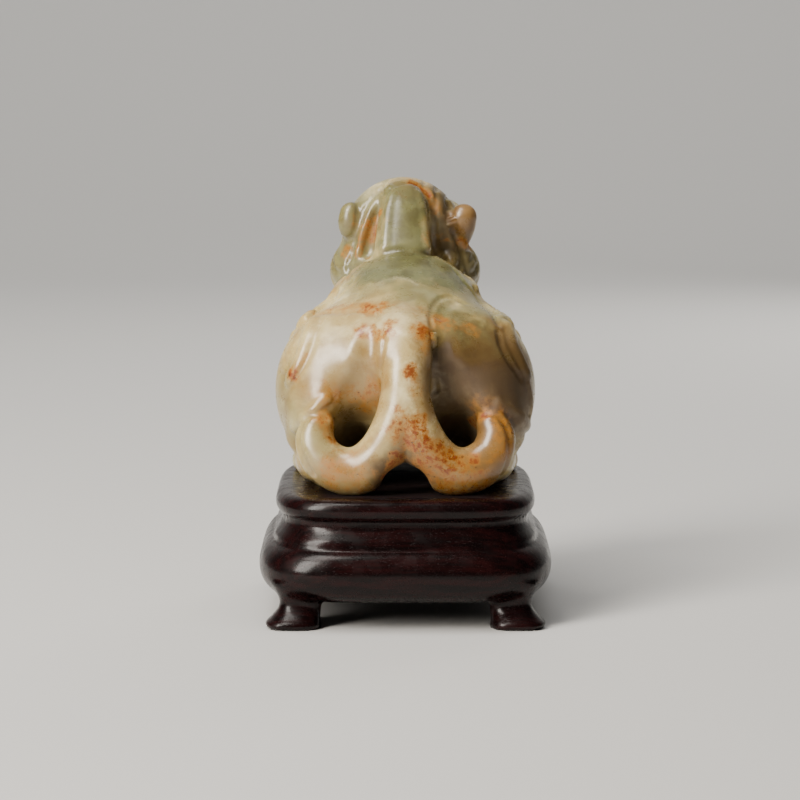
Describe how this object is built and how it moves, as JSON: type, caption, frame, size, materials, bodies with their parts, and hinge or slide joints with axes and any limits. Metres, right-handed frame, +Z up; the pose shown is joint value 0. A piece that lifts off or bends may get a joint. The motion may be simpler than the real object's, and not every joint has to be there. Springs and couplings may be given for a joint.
{
  "type": "carved mythical beast on a stand",
  "caption": "Crouching mythical beast carved from one piece of jade, with a forked curling tail, on a footed hardwood stand.",
  "frame": {"origin": "on the ground, under the middle of the stand", "axes": "+Z up, +Y the way the beast faces, +X to its right"},
  "size_m": [0.0492, 0.0606, 0.0719],
  "materials": {
    "wood": "satin",
    "jade": "gloss"
  },
  "bodies": {
    "root": {"wood_stand": "wood", "jade_beast": "jade"}
  },
  "joints": []
}
